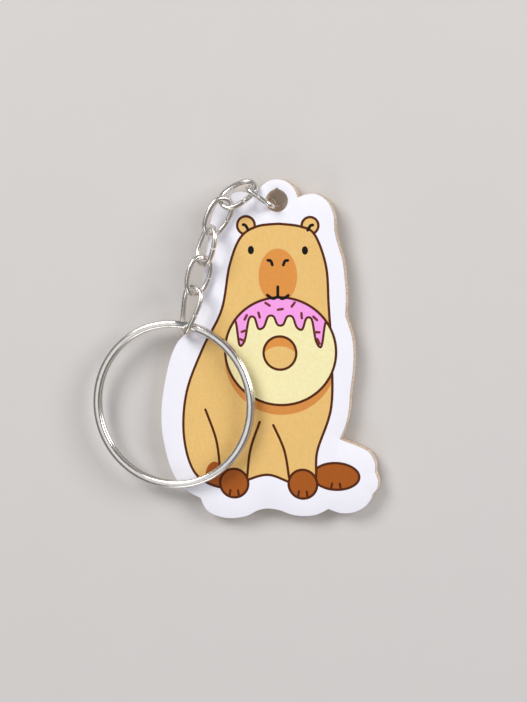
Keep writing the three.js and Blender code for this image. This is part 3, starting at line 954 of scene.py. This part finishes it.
@dataclass
class Charm:
    """The cut board and the printed coat on it."""

    width: float = 39.6
    height: float = 58.8
    board: float = 2.85
    coat: float = 0.15
    tab_radius: float = 3.75
    tab_x: float = 1.6
    tab_sink: float = 1.6
    hole_radius: float = 2.0
    nick_depth: float = 0.35
    nick_slope: float = 0.89
    spacing: float = 0.14

    # smooth stretches that meet in sharp corners, from the left of the tab to the right of it
    cut_edge = (
        [(-2.2, 27.0), (-3.2, 27.7), (-4.5, 28.15), (-5.9, 27.95), (-7.5, 27.25), (-8.95, 26.0),
         (-9.9, 24.3), (-10.45, 22.0), (-10.9, 18.75), (-11.5, 14.8), (-11.9, 11.1), (-12.25, 8.0),
         (-13.2, 5.2), (-14.8, 2.8), (-16.4, 1.1), (-17.7, -1.8), (-18.7, -5.9), (-19.35, -10.4),
         (-19.35, -14.6), (-18.7, -18.4), (-17.8, -21.6), (-16.4, -24.3), (-14.5, -26.0), (-12.3, -27.1)],
        [(-12.3, -27.1), (-11.1, -29.3), (-8.9, -30.35), (-6.6, -30.6), (-3.9, -30.1), (-1.8, -29.0),
         (0, -28.6), (2.15, -28.85), (4.1, -29.5), (6.25, -29.75), (8.75, -29.4), (10.9, -28.3)],
        [(10.9, -28.3), (13.05, -28.95), (15.35, -28.75), (17.3, -27.7), (18.4, -26.3), (18.6, -25.5)],
        [(18.6, -25.5), (19.5, -24.3), (19.65, -22.9), (19.1, -21.3)],
        [(19.1, -21.3), (19.1, -19.8), (18.05, -17.9), (15.9, -16.8), (14.1, -16.2), (12.85, -15.7)],
        [(12.85, -15.7), (13.85, -13.2), (14.45, -10.4), (14.65, -7.5), (15.1, -3.6), (15.25, -0.4),
         (14.9, 2.7), (13.75, 6.25)],
        [(13.75, 6.25), (13.85, 9.3), (13.65, 12.5), (13.2, 16.1), (12.3, 19.1), (11.8, 21.3),
         (11.6, 24.1), (10.55, 26.4), (8.6, 27.7), (6.6, 27.6), (5.35, 27.15)],
    )  # fmt: skip

    def __post_init__(self) -> None:
        """Works out the loops: the cut edge with the tab's arc, and the hole with its nick."""
        knots = [np.array(stretch, float) for stretch in self.cut_edge]
        drawn = np.ptp(np.vstack(knots), axis=0)
        knots = [k * (self.width, self.height) / drawn for k in knots]
        edge = loop_of(knots, self.spacing)
        self.tab = np.array([self.tab_x, edge[:, 1].max() - self.tab_sink])
        first, last = knots[0][0] - self.tab, knots[-1][-1] - self.tab
        start, stop = math.atan2(last[1], last[0]), math.atan2(first[1], first[0])
        count = round((stop - start) * self.tab_radius / self.spacing)
        angle = np.linspace(start, stop, count + 1)[:-1, None]
        arc = self.tab + self.tab_radius * np.hstack([np.cos(angle), np.sin(angle)])
        self.outline = np.vstack([edge, arc])
        self.hole = self.hole_loop()

    def hole_loop(self) -> Array:
        """The hole's wall, clockwise.

        At angle f from the top its radius is the larger of R and (R + nick) / (cos f + k sin |f|),
        which is a round hole with a small pointed nick.

        Returns:
            (n, 2) points.
        """
        f = np.linspace(-math.pi, math.pi, 180, endpoint=False)
        near = np.abs(f) < 0.5
        pointed = (self.hole_radius + self.nick_depth) / (np.cos(f) + self.nick_slope * np.sin(np.abs(f)))
        radius = np.where(near, np.maximum(self.hole_radius, pointed), self.hole_radius)
        return self.tab + radius[:, None] * np.stack([np.sin(f), np.cos(f)], axis=1)

    def inset(self, loop: Array, by: float) -> Array:
        """A loop moved into the material."""
        return loop + left_of(loop, closed=True) * by

    def board_surface(self) -> Surface:
        """The bare board: scorched back rim, cut wall and the flat under the coat."""
        top = self.board
        profile = np.array(
            [
                (0.75, 0.0, 0.0), (0.4, 0.0, 0.12), (0.16, 0.0, 0.45), (0.05, 0.0, 0.8), (0.012, 0.02, 0.95),
                (0.0, 0.06, 0.9), (0.0, 0.22, 0.42), (0.0, 0.6, 0.22), (0.0, top - 0.7, 0.2),
                (0.0, top - 0.34, 0.25), (0.0, top - 0.17, 0.62), (0.0, top - 0.06, 1.0), (0.0, top, 1.2),
            ]
        )  # fmt: skip
        made = Surface()
        loops = [self.outline, self.hole]
        for loop in loops:
            skirt(made, loop, profile)
        inner = [self.inset(loop, profile[0, 0]) for loop in loops]
        fill(made, inner, 0.0, up=False, mark=0.0)
        fill(made, loops, top, up=True, mark=1.0)
        return made

    def coat_surface(self, artwork: Artwork) -> Surface:
        """The printed coat: a thin white sheet whose front is cut into patches of ink.

        Every edge of every ink shape is a line in one triangle mesh, so each triangle lies wholly
        inside or outside each shape, and takes the ink of the last shape that covers its middle.

        Args:
            artwork: the picture.

        Returns:
            The closed surface, with an ink for each face.
        """
        bottom, top = self.board, self.board + self.coat
        profile = np.array([(0.0, bottom, 0), (0.0, top - 0.05, 0), (0.015, top - 0.015, 0), (0.05, top, 0)])
        made = Surface()
        loops = [self.outline, self.hole]
        for loop in loops:
            skirt(made, loop, profile)
        white = Ink.WHITE.light()
        made.corner_ink = [np.broadcast_to(white, block.shape).copy() for block in made.corner_ink]
        fill(made, loops, bottom, up=False, mark=0.0)
        shapes = artwork.shapes()
        edges = [self.inset(loop, profile[-1, 0]) for loop in loops]
        masks = {id(s.mask): s.mask for s in shapes if s.mask is not None}
        drawn = edges + [loop for shape in shapes for loop in shape.loops] + list(masks.values())
        points, faces = constrained(drawn)
        middle = points[faces].mean(axis=1)
        kept = (winding(middle, edges[0]) != 0) & (winding(middle, edges[1]) == 0)
        faces, middle = faces[kept], middle[kept]
        ink = np.tile(Ink.WHITE.light(), (len(faces), 1))
        for shape in shapes:
            ink[shape.covers(middle)] = shape.ink.light()
        flat = np.column_stack([points, np.full(len(points), top)])
        made.add(flat, faces, ink=ink, smooth=False)
        return made


def constrained(loops: list[Array]) -> tuple[Array, Array]:
    """Triangles of a flat area in which every loop's edges are edges.

    Args:
        loops: closed loops, which may cross.

    Returns:
        (n, 2) points and (m, 3) faces that turn anticlockwise.
    """
    counts = [len(loop) for loop in loops]
    starts = np.concatenate([[0], np.cumsum(counts)[:-1]])
    edges = [
        np.stack([start + np.arange(n), start + (np.arange(n) + 1) % n], axis=1)
        for start, n in zip(starts, counts)
    ]
    flat = np.vstack(loops)
    result = delaunay_2d_cdt(flat.tolist(), np.vstack(edges).tolist(), [], 0, 1e-5, False)
    points, faces = np.array([tuple(p) for p in result[0]]), np.array(result[2])
    a, b, c = (points[faces[:, k]] for k in range(3))
    turn = (b[:, 0] - a[:, 0]) * (c[:, 1] - a[:, 1]) - (b[:, 1] - a[:, 1]) * (c[:, 0] - a[:, 0])
    return points, np.where((turn > 0)[:, None], faces, faces[:, ::-1])


# ---- chain and ring ----------------------------------------------------------------------
def squared(value: Array, power: float) -> Array:
    """Values raised to a power with their signs kept, which squares off a circle."""
    return np.sign(value) * np.abs(value) ** power


def unit(v: Array) -> Array:
    """Vectors of length one."""
    return v / np.linalg.norm(v, axis=-1, keepdims=True)


def direction(heading: float, elevation: float = 0.0) -> Array:
    """Unit vector (cos e cos h, cos e sin h, sin e) for a heading in degrees and e in radians."""
    h = math.radians(heading)
    flat = math.cos(elevation)
    return np.array([flat * math.cos(h), flat * math.sin(h), math.sin(elevation)])


def basis_of(ahead: Array, roll: float) -> Array:
    """Columns ahead, side and top of a link, with side level and both rolled by degrees."""
    side = unit(np.cross([0, 0, 1.0], ahead))
    top = np.cross(ahead, side)
    c, s = math.cos(math.radians(roll)), math.sin(math.radians(roll))
    return np.stack([ahead, side * c + top * s, top * c - side * s], axis=1)


@dataclass(frozen=True)
class Wire:
    """The chain's wire and the gaps that it keeps."""

    diameter: float = 0.95
    hook_gap: float = 0.3
    lie_gap: float = 0.25
    seam: float = 0.12
    rim: float = 0.12
    sides: int = 28
    spacing: float = 0.16

    @property
    def reach(self) -> float:
        """Between the middles of two hooked wires."""
        return self.diameter + self.hook_gap


@dataclass
class WireLink:
    """A link bent from round wire, with its butt seam in the middle of one long side."""

    name: str
    wire: Wire
    length: float
    width: float
    roundness: float
    twist: float
    centre: Array = field(default_factory=lambda: np.zeros(3))
    basis: Array = field(default_factory=lambda: np.eye(3))

    @property
    def half(self) -> tuple[float, float]:
        """Half length and half width of the centre line."""
        return (self.length - self.wire.diameter) / 2, (self.width - self.wire.diameter) / 2

    def placed(self, centre: Array, ahead: Array, roll: float) -> "WireLink":
        """Sets where the link lies, and gives it back."""
        self.centre, self.basis = centre, basis_of(ahead, roll)
        return self

    def end_wire(self) -> Array:
        """Direction of the wire at the link's far end."""
        t = math.radians(self.twist)
        return self.basis @ np.array([0, math.cos(t), math.sin(t)])

    def surface(self) -> Surface:
        """The link as a tube along a twisted superellipse.

        At angle u, with p = 2 / roundness, x = a |cos u|^p and w = b |sin u|^p with their signs
        kept. The point is (x, w cos r, w sin r), where the roll r is the twist times x / a.

        Returns:
            The closed surface.
        """
        a, b = self.half
        power = 2 / self.roundness
        seam = math.asin((self.wire.seam / (2 * a)) ** (1 / power))
        u = math.pi / 2 + np.linspace(seam, 2 * math.pi - seam, 24001)
        along, across = squared(np.cos(u), power), squared(np.sin(u), power) * b
        roll = math.radians(self.twist) * along
        local = np.stack([a * along, across * np.cos(roll), across * np.sin(roll)], axis=1)
        local = evenly(local, self.wire.spacing)
        roll = math.radians(self.twist) * local[:, 0] / a
        ahead = unit(np.gradient(local, axis=0))
        plane = np.stack([np.zeros_like(roll), -np.sin(roll), np.cos(roll)], axis=1)
        top = unit(plane - (plane * ahead).sum(axis=1, keepdims=True) * ahead)
        side = np.cross(top, ahead)
        v = np.arange(self.wire.sides) * 2 * math.pi / self.wire.sides
        section = np.stack([np.cos(v), np.sin(v)], axis=1) * self.wire.diameter / 2
        turn = self.basis.T
        return tube(self.centre + local @ turn, side @ turn, top @ turn, section, self.wire.rim)


@dataclass
class Chain:
    """The link through the hole, four equal links and the larger end link."""

    charm: Charm
    wire: Wire = field(default_factory=Wire)
    length: float = 7.8
    width: float = 5.2
    roundness: float = 2.4
    twist: float = -6.0
    lay: tuple = ((214, 33), (243, -42), (254, 42), (254, -42))
    hole_roundness: float = 4.5
    hole_in: float = 247
    hole_out: float = 156
    hole_clearance: float = 0.5
    outside_clearance: float = 1.4
    hook_drop: float = 0.05
    end_length: float = 9.6
    end_width: float = 5.8
    end_roundness: float = 3.0
    end_twist: float = 18.0
    end_roll: float = 48.0
    end_heading: float = 253

    def hooked_start(self, eye: Array, wire: Array, ahead: Array) -> Array:
        """Where a link that heads ahead starts, a reach back from the wire at its eye."""
        return eye - self.wire.reach * unit(ahead - wire * (ahead @ wire))

    def links(self, ring_eye_z: float) -> list[WireLink]:
        """Every link in place, from the hole to the ring.

        Args:
            ring_eye_z: height of the ring's middle where the end link meets it.

        Returns:
            The links. The last one's far end is the ring's eye.
        """
        wire, charm = self.wire, self.charm
        face = charm.board + charm.coat
        tab = np.array([*charm.tab, 0.0])
        inside = charm.hole_radius - wire.diameter / 2 - self.hole_clearance
        outside = charm.tab_radius + wire.diameter / 2 + self.outside_clearance
        down, out = tab + direction(self.hole_in) * inside, tab + direction(self.hole_out) * outside
        low = -wire.lie_gap - wire.diameter
        high = face + wire.lie_gap + 2 * wire.diameter + 3 * wire.hook_gap
        span = float(np.linalg.norm(out - down)) + wire.diameter
        middle = (down + out) / 2 + np.array([0, 0, (low + high) / 2])
        first = WireLink("hole_link", wire, span, high - low, self.hole_roundness, 0.0)
        made = [first.placed(middle, unit(out - down), 90.0)]
        lie = math.radians(abs(self.lay[1][1]) + abs(self.twist))
        level = face + wire.lie_gap + wire.diameter / 2 + (self.width - wire.diameter) / 2 * math.sin(lie)
        eye, hooked = np.array([out[0], out[1], face - self.hook_drop]), np.array([0, 0, 1.0])
        for i, (heading, roll) in enumerate(self.lay):
            link = WireLink(f"chain_link_{i + 1}", wire, self.length, self.width, self.roundness, self.twist)
            half = link.half[0]
            climb = math.asin((level - eye[2]) / (2 * half)) if i == 0 else 0.0
            ahead = direction(heading, climb)
            start = self.hooked_start(eye, hooked, ahead)
            made.append(link.placed(start + ahead * half, ahead, roll))
            eye, hooked = start + ahead * 2 * half, link.end_wire()
        last = WireLink("end_link", wire, self.end_length, self.end_width, self.end_roundness, self.end_twist)
        half = last.half[0]
        ahead = direction(self.end_heading, math.asin((ring_eye_z - eye[2]) / (2 * half)))
        start = self.hooked_start(eye, hooked, ahead)
        made.append(last.placed(start + ahead * half, ahead, self.end_roll))
        return made


@dataclass
class SplitRing:
    """A flat-wire spring ring of two turns."""

    centre: Array
    tilt: float = -4.0
    diameter: float = 30.4
    band: float = 1.35
    coil: float = 0.9
    coil_gap: float = 0.1
    jog_from: float = 72.0
    jog_to: float = 90.0
    squareness: float = 0.8
    rim: float = 0.16
    sides: int = 36
    spacing: float = 0.3

    def surface(self) -> Surface:
        """The ring as a rounded band along a two-turn coil.

        At run u the point is (R cos(j + u), R sin(j + u), h s), with j the jog's end, h the rise
        from one coil to the other, and s a smooth step from -1/2 to 1/2 between the wire's ends.
        The section is (x, y) = (w |cos v|^q, t |sin v|^q) with the signs kept.

        Returns:
            The closed surface.
        """
        radius = (self.diameter - self.band) / 2
        step = math.radians(self.jog_to - self.jog_from)
        turn = 2 * math.pi - step
        u = np.linspace(0, 2 * turn + step, 6001)
        t = np.clip((u - turn) / step, 0, 1)
        height = (self.coil + self.coil_gap) * (t * t * (3 - 2 * t) - 0.5)
        angle = math.radians(self.jog_to) + u
        local = np.stack([radius * np.cos(angle), radius * np.sin(angle), height], axis=1)
        local = evenly(local, self.spacing)
        ahead = unit(np.gradient(local, axis=0))
        up = np.array([0, 0, 1.0])
        top = unit(up - (ahead @ up)[:, None] * ahead)
        side = np.cross(ahead, top)
        v = (np.arange(self.sides) + 0.5) * 2 * math.pi / self.sides
        wide = squared(np.cos(v), self.squareness) * self.band / 2
        high = squared(np.sin(v), self.squareness) * self.coil / 2
        c, s = math.cos(math.radians(self.tilt)), math.sin(math.radians(self.tilt))
        turned = np.array([[c, 0, s], [0, 1, 0], [-s, 0, c]]).T
        section = np.stack([wide, high], axis=1)
        return tube(self.centre + local @ turned, side @ turned, top @ turned, section, self.rim)


# ---- studio ------------------------------------------------------------------------------
@dataclass(frozen=True)
class SoftLight:
    """A square soft box that points at the charm."""

    name: str
    place: tuple[float, float, float]
    size: float
    power: float
    colour: Colour = (1.0, 1.0, 1.0)

    def build(self, target: Vector) -> None:
        """Makes the light.

        Args:
            target: the point that it faces.
        """
        data = bpy.data.lights.new(self.name, "AREA")
        data.shape, data.size, data.energy, data.color = "SQUARE", self.size, self.power, self.colour
        made = bpy.data.objects.new(self.name, data)
        made.location = self.place
        made.rotation_euler = (target - made.location).to_track_quat("-Z", "Y").to_euler()
        bpy.context.scene.collection.objects.link(made)


@dataclass
class Studio:
    """Floor, soft light and camera."""

    effects: Effects
    target: tuple[float, float, float] = (-0.8, -0.2, 3.0)
    yaw: float = 12.0
    pitch: float = 5.0
    distance: float = 348.3
    lens: float = 100.0
    sensor: float = 36.0
    floor_half: float = 900.0
    floor_low: tuple[float, float] = (26.6, -1.22)
    floor_high: tuple[float, float] = (-30.6, -0.02)
    sky: Colour = (0.80, 0.83, 0.88)
    sky_strength: float = 0.24
    lights: tuple[SoftLight, ...] = (
        SoftLight("key_light", (-0.34, 0.42, 0.58), 0.40, 3.75, (1.0, 0.985, 0.965)),
        SoftLight("fill_light", (0.58, 0.26, 0.42), 0.34, 2.8, (0.97, 0.985, 1.0)),
        SoftLight("front_light", (-0.10, -0.60, 0.44), 0.40, 0.9, (1.0, 1.0, 1.0)),
        SoftLight("overhead_light", (-0.28, -0.12, 1.05), 0.62, 0.9, (1.0, 1.0, 1.0)),
        SoftLight("under_light", (0.12, -0.18, -0.72), 0.60, 3.0, (1.0, 0.99, 0.97)),
    )

    def build(self) -> None:
        """Makes the floor, the lights, the sky and the camera."""
        self.build_floor()
        for light in self.lights:
            light.build(Vector(self.target) * MM)
        world = bpy.data.worlds.new("studio_sky")
        world.use_nodes = True
        background = world.node_tree.nodes["Background"]
        background.inputs[0].default_value = (*self.sky, 1.0)
        background.inputs[1].default_value = self.sky_strength
        bpy.context.scene.world = world
        bpy.context.scene.view_settings.view_transform = "Standard"
        self.build_camera()

    def build_floor(self) -> None:
        """A flat floor: z is linear in y and touches the hole link and the charm's lower edge."""
        slope = (self.floor_low[1] - self.floor_high[1]) / (self.floor_low[0] - self.floor_high[0])
        grid = np.linspace(-self.floor_half, self.floor_half, 9)
        y, x = np.meshgrid(grid, grid, indexing="ij")
        z = self.floor_high[1] + slope * (y - self.floor_high[0])
        made = Surface()
        made.add(np.stack([x, y, z], axis=-1).reshape(-1, 3), grid_faces(9, 9, around=False))
        mesh = bpy.data.meshes.new("floor")
        mesh.from_pydata((made.points[0] * MM).tolist(), [], made.faces[0].tolist())
        mesh.materials.append(TableFinish("pale table", self.effects).material())
        floor = bpy.data.objects.new("floor", mesh)
        bpy.context.scene.collection.objects.link(floor)

    def build_camera(self) -> None:
        """The camera stands off the face to its right and a little above, with +Y up."""
        yaw, pitch = math.radians(self.yaw), math.radians(self.pitch)
        back = Vector((math.sin(yaw) * math.cos(pitch), math.sin(pitch), math.cos(yaw) * math.cos(pitch)))
        right = Vector((0, 1, 0)).cross(back).normalized()
        up = back.cross(right)
        data = bpy.data.cameras.new("camera")
        data.lens, data.sensor_width = self.lens, self.sensor
        data.clip_start, data.clip_end = 0.01, 10.0
        camera = bpy.data.objects.new("camera", data)
        place = (Vector(self.target) + back * self.distance) * MM
        columns = (right, up, back)
        turn = Matrix([[column[i] for column in columns] for i in range(3)])
        camera.matrix_world = Matrix.Translation(place) @ turn.to_4x4()
        bpy.context.scene.collection.objects.link(camera)
        bpy.context.scene.camera = camera


# ---- assembly ----------------------------------------------------------------------------
@dataclass
class Keychain:
    """The whole object around the fixed frame."""

    effects: Effects = field(default_factory=Effects)
    charm: Charm = field(default_factory=Charm)
    artwork: Artwork = field(default_factory=Artwork)

    def add(self, surface: Surface, name: str, node: str, slot: str, material: bpy.types.Material) -> None:
        """Makes one piece in place of a node and lets it ride on that node's body.

        Args:
            surface: its shape.
            name: the piece's name.
            node: the node that it stands for.
            slot: the record's material slot; not used.
            material: its finish.
        """
        made = surface.build(name, material)
        body = next(b for b, nodes in frame["record"]["behaviour"]["bodies"].items() if node in nodes)
        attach(made, body)
        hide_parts(node)
        low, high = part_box(node)
        ends = np.array([v[:] for v in made.bound_box])
        off = max(np.abs(ends.min(axis=0) - low).max(), np.abs(ends.max(axis=0) - high).max()) / MM
        LOG.info("%s: %d faces, on %s, %.2f mm off its node's box", name, len(made.data.polygons), body, off)
        if off > BOX_MATCH:
            raise ValueError(f"{name} is {off:.2f} mm off the box of {node}")

    def build(self) -> None:
        """Makes every piece."""
        wood = WoodFinish("bare cut wood", self.effects).material()
        coat = PrintFinish("printed ink", self.effects).material()
        link_nickel = NickelFinish("nickel wire", self.effects).material()
        ring_nickel = NickelFinish(
            "nickel band", self.effects, roughness=(0.12, 0.26), drawn=0.6
        ).material()
        self.add(self.charm.board_surface(), "wooden_board", "board", "wood", wood)
        self.add(self.charm.coat_surface(self.artwork), "printed_coat", "printed_face", "print", coat)
        spin = next(j for j in frame["joints"] if j["child"] == "split_ring")
        ring = SplitRing(np.array(spin["pos_m"]) / MM)
        hang_x = math.cos(math.radians(RING_HANG)) * math.sin(math.radians(-ring.tilt))
        hang = ring.diameter / 2 - ring.band - Wire().hook_gap - Wire().diameter / 2
        eye_z = ring.centre[2] - hang * hang_x
        for link in Chain(self.charm).links(float(eye_z)):
            self.add(link.surface(), f"{link.name}_wire", link.name, "steel", link_nickel)
        self.add(ring.surface(), "split_ring_band", "split_ring", "steel", ring_nickel)


def main() -> None:
    """Builds the keychain and its studio."""
    logging.basicConfig(level=logging.INFO, format="%(name)s: %(message)s")
    keychain = Keychain()
    keychain.build()
    Studio(keychain.effects).build()


if __name__ == "__main__":
    main()
